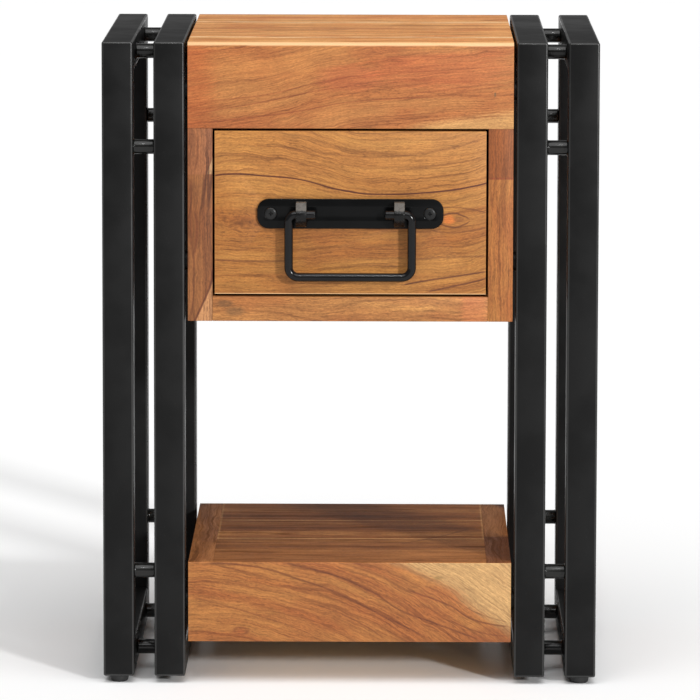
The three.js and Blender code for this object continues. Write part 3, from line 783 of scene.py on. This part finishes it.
def lathe(profile, origin, axis, steps=32):
    """(radius, height) points turned round an axis; the first and last radius are 0."""
    bm = bmesh.new()
    turn = Vector((0, 0, 1)).rotation_difference(Vector(axis)).to_matrix().to_4x4()
    place = Matrix.Translation(origin) @ turn
    rings = []
    for radius, height in profile:
        ring = []
        for i in range(steps if radius else 1):
            angle = math.tau * i / steps
            point = Vector((radius * math.cos(angle), radius * math.sin(angle), height))
            ring.append(bm.verts.new(place @ point))
        rings.append(ring)
    for low, high in zip(rings, rings[1:]):
        for i in range(steps):
            j = (i + 1) % steps
            if len(low) == 1:
                bm.faces.new((low[0], high[i], high[j]))
            elif len(high) == 1:
                bm.faces.new((low[i], high[0], low[j]))
            else:
                bm.faces.new((low[i], high[i], high[j], low[j]))
    return bm


def arc(centre, radius, start, end, steps):
    """Points on an arc, angles in degrees."""
    points = []
    for i in range(steps + 1):
        angle = math.radians(start + (end - start) * i / steps)
        points.append((centre[0] + radius * math.cos(angle), centre[1] + radius * math.sin(angle)))
    return points


# ---- Steel side frames ----

TUBE_ARRIS = 1.6 * MM
WELD_FLARE = 1.1 * MM
SPACER_RADIUS = 8 * MM
SPACER_EDGE = 0.3 * MM


def welded_loop(side, layer, materials):
    """Four tubes welded into one loop and ground smooth."""
    prefix = f"{side}_{layer}"
    nodes = [f"{prefix}_{part}" for part in ("front_leg", "back_leg", "top_rail", "bottom_rail")]
    low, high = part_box(nodes[0])
    tube = high.y - low.y
    y0, y1 = low.y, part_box(nodes[1])[1].y
    z0, z1 = low.z, high.z
    outer = [(y0, z0), (y1, z0), (y1, z1), (y0, z1)]
    inner = [(y0 + tube, z0 + tube), (y1 - tube, z0 + tube), (y1 - tube, z1 - tube), (y0 + tube, z1 - tube)]
    bm = bmesh.new()
    near_out, near_in, far_out, far_in = [[bm.verts.new((x, y, z)) for y, z in ring]
                                          for x in (low.x, high.x) for ring in (outer, inner)]
    for i in range(4):
        j = (i + 1) % 4
        bm.faces.new((near_out[i], near_out[j], near_in[j], near_in[i]))
        bm.faces.new((far_out[i], far_in[i], far_in[j], far_out[j]))
        bm.faces.new((near_out[i], far_out[i], far_out[j], near_out[j]))
        bm.faces.new((near_in[i], near_in[j], far_in[j], far_in[i]))
    bmesh.ops.recalc_face_normals(bm, faces=bm.faces)
    inner_corners = set(near_in + far_in)

    def concave(edge):
        a, b = edge.verts
        return a in inner_corners and b in inner_corners and abs(a.co.x - b.co.x) > tube / 2

    # The rounded edges take the second material, whose lighter black is a painted highlight.
    round_edges(bm, TUBE_ARRIS, 4, skip=concave, finish=1)
    piece(f"{prefix}_loop", bm, materials, TABLE_BODY, nodes, 50)


def rod(node, material):
    """A round rod with a small weld fillet at each end."""
    low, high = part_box(node)
    radius = (high.z - low.z) / 2
    length = high.x - low.x
    root = radius + WELD_FLARE
    fillet = arc((root, WELD_FLARE), WELD_FLARE, 240, 180, 2)
    mirrored = [(r, length - z) for r, z in reversed(fillet)]
    profile = [(0, 0), (root, 0)] + fillet + mirrored + [(root, length), (0, length)]
    origin = (low.x, (low.y + high.y) / 2, (low.z + high.z) / 2)
    bm = lathe(profile, origin, (1, 0, 0))
    piece(f"{node}_welded", bm, [material], TABLE_BODY, [node], 60)


def foot(node, material):
    """A round glide, a little wider at its rim under the tube."""
    low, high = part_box(node)
    loop_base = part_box(node.split("_")[0] + "_outer_front_leg")[0].z
    height = loop_base - low.z
    wide = (high.x - low.x) / 2
    sole = [(0, 0), (wide * 0.74, 0), (wide * 0.82, 0.3 * MM), (wide * 0.87, 1.0 * MM)]
    rim = [(wide * 0.93, height * 0.55), (wide * 0.99, height - 0.9 * MM), (wide, height - 0.3 * MM)]
    profile = sole + rim + [(wide * 0.98, height), (0, height)]
    bm = lathe(profile, ((low.x + high.x) / 2, (low.y + high.y) / 2, low.z), (0, 0, 1))
    piece(f"{node}_glide", bm, [material], TABLE_BODY, [node], 40)


def spacers(material):
    """The black spacers of the fixing bolts, in the gap between the wood and the inner loops."""
    heights = {"top": TOP_BASE + 30 * MM, "cabinet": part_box("cabinet_bottom")[1].z + 28 * MM,
               "shelf": (SHELF_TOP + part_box("shelf_underside")[0].z) / 2}
    gap = abs(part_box("left_inner_front_leg")[1].x) - WOOD_HALF
    end = SPACER_RADIUS - 0.4 * MM
    profile = [(0, 0), (end, 0), (SPACER_RADIUS, SPACER_EDGE), (SPACER_RADIUS, gap - SPACER_EDGE), (end, gap),
               (0, gap)]
    for side, sign in zip(SIDES, (-1, 1)):
        for place in ("front", "back"):
            low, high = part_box(f"{side}_inner_{place}_leg")
            for level, z in heights.items():
                bm = lathe(profile, (sign * WOOD_HALF, (low.y + high.y) / 2, z), (sign, 0, 0), 28)
                piece(f"{side}_{place}_{level}_spacer", bm, [material], TABLE_BODY, [])


def side_frames():
    face = black_paint("powder_coat_black", (0.005, 0.005, 0.005), roughness=0.42, level=0.14)
    # The rounded tube edges get a lighter black, which is a painted highlight, and a glossier coat.
    edge = black_paint("powder_coat_edge_highlight", (0.012, 0.012, 0.0115), roughness=0.27, level=0.45)
    smooth = black_paint("powder_coat_rod", (0.006, 0.006, 0.0055), roughness=0.16, level=0.34)
    plastic = moulded_plastic("foot_plastic_black", (0.012, 0.012, 0.012))
    for side in SIDES:
        for layer in ("outer", "inner"):
            welded_loop(side, layer, [face, edge])
        for place in ("front_upper", "front_lower", "back_upper", "back_lower",
                      "top_front", "top_back", "bottom_front", "bottom_back"):
            rod(f"{side}_rod_{place}", smooth)
        for end in ("front", "back"):
            foot(f"{side}_{end}_foot", plastic)
    spacers(face)


# ---- Boards ----

TOP_ARRIS = 3.2 * MM
SHELF_ARRIS = 1.4 * MM
BOARD_ARRIS = 0.5 * MM
DRAWER_FRONT_ARRIS = 0.9 * MM
DRAWER_BOARD_ARRIS = 0.8 * MM
DRAWER_FLOOR_ARRIS = 0.4 * MM


def mitred_outline(kind, base, top, radius):
    """Outline of a front board, back board, panel or end whose upper arris is rounded and split
    at the mitre between two pieces."""
    front_in, back_in, under = FRONT + BOARD, BACK - BOARD, top - BOARD
    front_centre = (FRONT + radius, top - radius)
    back_centre = (BACK - radius, top - radius)
    if kind == "front":
        return [(FRONT, base), (front_in, base), (front_in, under)] + arc(front_centre, radius, 135, 180, 5)
    if kind == "back":
        return [(back_in, base), (BACK, base)] + arc(back_centre, radius, 0, 45, 5) + [(back_in, under)]
    upper = arc(back_centre, radius, 45, 90, 5) + arc(front_centre, radius, 90, 135, 5)
    if kind == "panel":
        return [(front_in, under), (back_in, under)] + upper
    return [(front_in, base), (back_in, base), (back_in, under)] + upper + [(front_in, under)]


def mitred_board(node, kind, base, top, radius, material):
    low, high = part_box(node)
    bm = prism(mitred_outline(kind, base, top, radius), low.x, high.x)
    mitre = radius * (1 - math.sqrt(0.5))

    def at_mitre(edge):
        middle = (edge.verts[0].co + edge.verts[1].co) / 2
        along_x = abs(edge.verts[0].co.x - edge.verts[1].co.x) > 1 * MM
        depth = min(middle.y - FRONT, BACK - middle.y)
        return along_x and abs(depth - mitre) < 0.05 * MM and abs(top - middle.z - mitre) < 0.05 * MM

    round_edges(bm, BOARD_ARRIS, skip=at_mitre)
    piece(f"{node}_finished", bm, [material], TABLE_BODY, [node])


def plain_board(node, material, body, radius=BOARD_ARRIS):
    bm = from_node(node)
    round_edges(bm, radius)
    piece(f"{node}_finished", bm, [material], body, [node])


def top_boards():
    # The back board's rounded arris gets a painted highlight on its crown.
    back = acacia("acacia_top_back", "top_back_board", TOP_TONES, seed=21.0, highlit_arrises=[(BACK, TOP, ARRIS_HIGHLIGHT_REACH)])
    for node, kind, material in (("top_front_board", "front", top_finish()), ("top_back_board", "back", back),
                                 ("top_panel", "panel", top_face_finish())):
        mitred_board(node, kind, TOP_BASE, TOP, TOP_ARRIS, material)


def shelf_boards():
    back = acacia("acacia_shelf_back", "shelf_back_board", SHELF_TONES, seed=24.0)
    for node, kind, material in (("shelf_front_board", "front", shelf_front_finish()),
                                 ("shelf_back_board", "back", back),
                                 ("shelf_panel", "panel", shelf_face_finish()),
                                 ("shelf_left_end", "end", shelf_end_finish("left", 30)),
                                 ("shelf_right_end", "end", shelf_end_finish("right", 31))):
        mitred_board(node, kind, SHELF_BASE, SHELF_TOP, SHELF_ARRIS, material)


def cabinet_and_drawer():
    along = pale_wood("pale_inner_wood", "drawer_floor", FLAT_ALONG_Y, 52.0)
    across = pale_wood("pale_inner_wood_across", "drawer_back", UPRIGHT_ALONG_X, 56.0)
    shown = {"left_side": left_side_finish(), "right_side": right_side_finish(), "bottom": rail_finish()}
    for board, wood in shown.items():
        plain_board(f"cabinet_{board}", wood, TABLE_BODY)
    plain_board("cabinet_back", across, TABLE_BODY)
    plain_board("shelf_underside", across, TABLE_BODY)
    plain_board("drawer_front", drawer_finish(), DRAWER_BODY, DRAWER_FRONT_ARRIS)
    for board, wood in (("left_side", along), ("right_side", along), ("back", across)):
        plain_board(f"drawer_{board}", wood, DRAWER_BODY, DRAWER_BOARD_ARRIS)
    plain_board("drawer_floor", along, DRAWER_BODY, DRAWER_FLOOR_ARRIS)


# ---- Handle ----

PLATE_CORNER = 9.5 * MM
SCREW_CLEARANCE = 0.12 * MM
EYE_BORE = 3.8
SCREW_CROWN = 0.55 * MM
SCREW_DEPTH = 2.6 * MM
CROSS_ARM, CROSS_TIP, CROSS_DEPTH, CROSS_STRETCH, CROSS_TURN = 0.75 * MM, 0.3 * MM, 3.2 * MM, 4.0, 8
WIRE_END_X, WIRE_TOP_BEND, WIRE_LOW_BEND = 28 * MM, 5.5 * MM, 8 * MM


def flat_shape(outline, holes, thickness, soft):
    """A flat outline in local x-y with holes, given a thickness and soft edges, as a bmesh."""
    data = bpy.data.curves.new("outline", "CURVE")
    data.dimensions = "2D"
    data.fill_mode = "BOTH"
    for ring in [outline] + holes:
        spline = data.splines.new("POLY")
        spline.points.add(len(ring) - 1)
        for point, (x, y) in zip(spline.points, ring):
            point.co = (x, y, 0, 1)
        spline.use_cyclic_u = True
    data.extrude = thickness / 2 - soft
    data.bevel_depth = soft
    data.bevel_resolution = 2
    data.offset = -soft
    holder = bpy.data.objects.new("outline", data)
    bpy.context.scene.collection.objects.link(holder)
    bpy.context.view_layer.update()
    evaluated = holder.evaluated_get(bpy.context.evaluated_depsgraph_get())
    mesh = bpy.data.meshes.new_from_object(evaluated)
    bm = bmesh.new()
    bm.from_mesh(mesh)
    bmesh.ops.remove_doubles(bm, verts=bm.verts, dist=0.001 * MM)
    bpy.data.objects.remove(holder)
    bpy.data.curves.remove(data)
    bpy.data.meshes.remove(mesh)
    return bm


def handle_plate(material):
    """The back plate, with round ends and a hole that each screw's head fills."""
    low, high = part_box("handle_plate")
    half_x, half_z = (high.x - low.x) / 2, (high.z - low.z) / 2
    ring = []
    for quarter, (sx, sz) in enumerate(((1, 1), (-1, 1), (-1, -1), (1, -1))):
        corner = (sx * (half_x - PLATE_CORNER), sz * (half_z - PLATE_CORNER))
        ring += arc(corner, PLATE_CORNER, 90 * quarter, 90 * quarter + 90, 12)
    holes = []
    for side in SIDES:
        a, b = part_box(f"handle_{side}_screw")
        holes.append(arc(((a.x + b.x) / 2, 0), (b.x - a.x) / 2 + SCREW_CLEARANCE, 0, 350, 35))
    bm = flat_shape(ring, holes, high.y - low.y, 0.5 * MM)
    place = Matrix.Translation((low + high) / 2) @ Matrix.Rotation(math.radians(90), 4, "X")
    bmesh.ops.transform(bm, matrix=place, verts=bm.verts)
    piece("handle_back_plate", bm, [material], DRAWER_BODY, ["handle_plate"], 40)


def pivot():
    """The bail's pivot axis, as (y, z)."""
    for joint in frame["joints"]:
        if joint["name"] == "bail_swing":
            return joint["pos_m"][1], joint["pos_m"][2]
    raise ValueError("there is no bail_swing joint")


def handle_eye(side, material):
    """A lug with a bore for the wire: square behind, with a blunt nose. Its outline is (y, z) in
    millimetres from the pivot."""
    node = f"handle_{side}_eye"
    low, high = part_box(node)
    axis_y, axis_z = pivot()
    half = (high.z - low.z) / 2 / MM
    nose = (axis_y - low.y) / MM
    base = (high.y - axis_y) / MM
    outline = [(base, -half), (base, half), (2, half)] + arc((0.6, half - 1.6), 1.6, 100, 135, 3)
    outline += [(0.4 - nose, 2.5), (-nose, 1.8), (-nose, -2.6), (1.2 - nose, -4.4)]
    outline += [(0.6, 0.8 - half), (2, -half)]
    bore = arc((0, 0), EYE_BORE, 0, 345, 23)
    outline, bore = [[scaled(point, MM) for point in ring] for ring in (outline, bore)]
    bm = flat_shape(outline, [bore], high.x - low.x, 0.45 * MM)
    axes = Matrix(((0, 0, 1), (1, 0, 0), (0, 1, 0))).to_4x4()
    place = Matrix.Translation(((low.x + high.x) / 2, axis_y, axis_z)) @ axes
    bmesh.ops.transform(bm, matrix=place, verts=bm.verts)
    piece(f"handle_{side}_eye_lug", bm, [material], DRAWER_BODY, [node])


def cross_cutter(centre):
    """Two tapered wedges that cross on a screw's axis, turned a little, as an object."""
    cutter = bmesh.new()
    for turn, stretch in ((0, (CROSS_STRETCH, 1, 1, 1)), (90, (1, 1, CROSS_STRETCH, 1))):
        wedge = bmesh.ops.create_cone(cutter, cap_ends=True, segments=4, radius1=CROSS_ARM * math.sqrt(2),
                                      radius2=CROSS_TIP, depth=CROSS_DEPTH)["verts"]
        matrix = Matrix.Translation(centre) @ Matrix.Diagonal(stretch) \
            @ Matrix.Rotation(math.radians(turn + CROSS_TURN), 4, "Y") \
            @ Matrix.Rotation(math.radians(-90), 4, "X") @ Matrix.Rotation(math.radians(45), 4, "Z")
        bmesh.ops.transform(cutter, matrix=matrix, verts=wedge)
    mesh = bpy.data.meshes.new("cross")
    cutter.to_mesh(mesh)
    cutter.free()
    cross = bpy.data.objects.new("cross", mesh)
    bpy.context.scene.collection.objects.link(cross)
    return cross


def handle_screw(side, material):
    """A raised countersunk head with a cross recess."""
    node = f"handle_{side}_screw"
    low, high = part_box(node)
    radius = (high.x - low.x) / 2
    centre = Vector(((low.x + high.x) / 2, low.y, (low.z + high.z) / 2))
    dome = [(0, 0), (radius * 0.35, 0.04 * MM), (radius * 0.7, 0.2 * MM), (radius * 0.95, SCREW_CROWN)]
    rim = [(radius, SCREW_CROWN + 0.25 * MM), (radius * 0.98, SCREW_CROWN + 0.5 * MM)]
    head = lathe(dome + rim + [(radius * 0.5, SCREW_DEPTH), (0, SCREW_DEPTH)], centre, (0, 1, 0), 40)
    obj = piece(f"handle_{side}_screw_head", head, [material], DRAWER_BODY, [node])
    cross = cross_cutter(centre)
    recess = obj.modifiers.new("recess", "BOOLEAN")
    recess.operation = "DIFFERENCE"
    recess.solver = "EXACT"
    recess.use_self = True
    recess.object = cross
    bpy.context.view_layer.update()
    cut = bpy.data.meshes.new_from_object(obj.evaluated_get(bpy.context.evaluated_depsgraph_get()))
    obj.modifiers.clear()
    obj.data = cut
    bpy.data.objects.remove(cross)


def sweep(points, radius, sides=24):
    """A round wire along points in an x-z plane, with slightly rounded ends."""
    bm = bmesh.new()
    rings = []
    for i, point in enumerate(points):
        tangent = (points[min(i + 1, len(points) - 1)] - points[max(i - 1, 0)]).normalized()
        normal = Vector((-tangent.z, 0, tangent.x))
        ring = []
        for k in range(sides):
            angle = math.tau * k / sides
            spoke = math.cos(angle) * normal + math.sin(angle) * Vector((0, 1, 0))
            ring.append(bm.verts.new(point + radius * spoke))
        rings.append(ring)
    for a, b in zip(rings, rings[1:]):
        for k in range(sides):
            j = (k + 1) % sides
            bm.faces.new((a[k], b[k], b[j], a[j]))
    bm.faces.new(rings[0])
    bm.faces.new(list(reversed(rings[-1])))
    bmesh.ops.recalc_face_normals(bm, faces=bm.faces)
    round_edges(bm, 0.7 * MM, angle=60)
    return bm


def handle_bail(material):
    """The wire: its ends lie in the eyes, and it bends down at both sides and across."""
    low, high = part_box("handle_bail")
    axis_y, axis_z = pivot()
    wire = high.z - axis_z
    leg = high.x - wire
    drop = axis_z - low.z - wire
    half = [(WIRE_END_X, 0)]
    half += arc((leg - WIRE_TOP_BEND, -WIRE_TOP_BEND), WIRE_TOP_BEND, 90, 0, 10)
    half += arc((leg - WIRE_LOW_BEND, WIRE_LOW_BEND - drop), WIRE_LOW_BEND, 0, -90, 12)
    route = [(-x, z) for x, z in half] + list(reversed(half))
    bm = sweep([Vector((x, axis_y, axis_z + z)) for x, z in route], wire)
    piece("handle_bail_wire", bm, [material], BAIL_BODY, ["handle_bail"], 50)


def handle():
    plate = black_paint("lacquer_black", (0.002, 0.0021, 0.0022), roughness=0.35, level=0.04,
                        grain_size=2.5, relief=0.02, dust=0.1, coat=0.16)
    wire = black_paint("lacquer_black_wire", (0.003, 0.003, 0.0034), roughness=0.14, level=0.24,
                       grain_size=2.5, relief=0.005, dust=0.1)
    screw = black_paint("blackened_steel", (0.012, 0.012, 0.012), roughness=0.32, level=0.18,
                        grain_size=0.8, relief=0.03, dust=0.1)
    # The eyes' upper faces get a grey-brown painted highlight.
    eye = lacquer_with_painted_highlight("lacquer_black_painted_highlight", pivot()[1])
    handle_plate(plate)
    for side in SIDES:
        handle_eye(side, eye)
        handle_screw(side, screw)
    handle_bail(wire)


look_from((CAMERA_X, FRONT - CAMERA_AHEAD, CAMERA_HEIGHT), CAMERA_PITCH, CAMERA_YAW, CAMERA_ROLL)
studio()
side_frames()
top_boards()
shelf_boards()
cabinet_and_drawer()
handle()
floor()
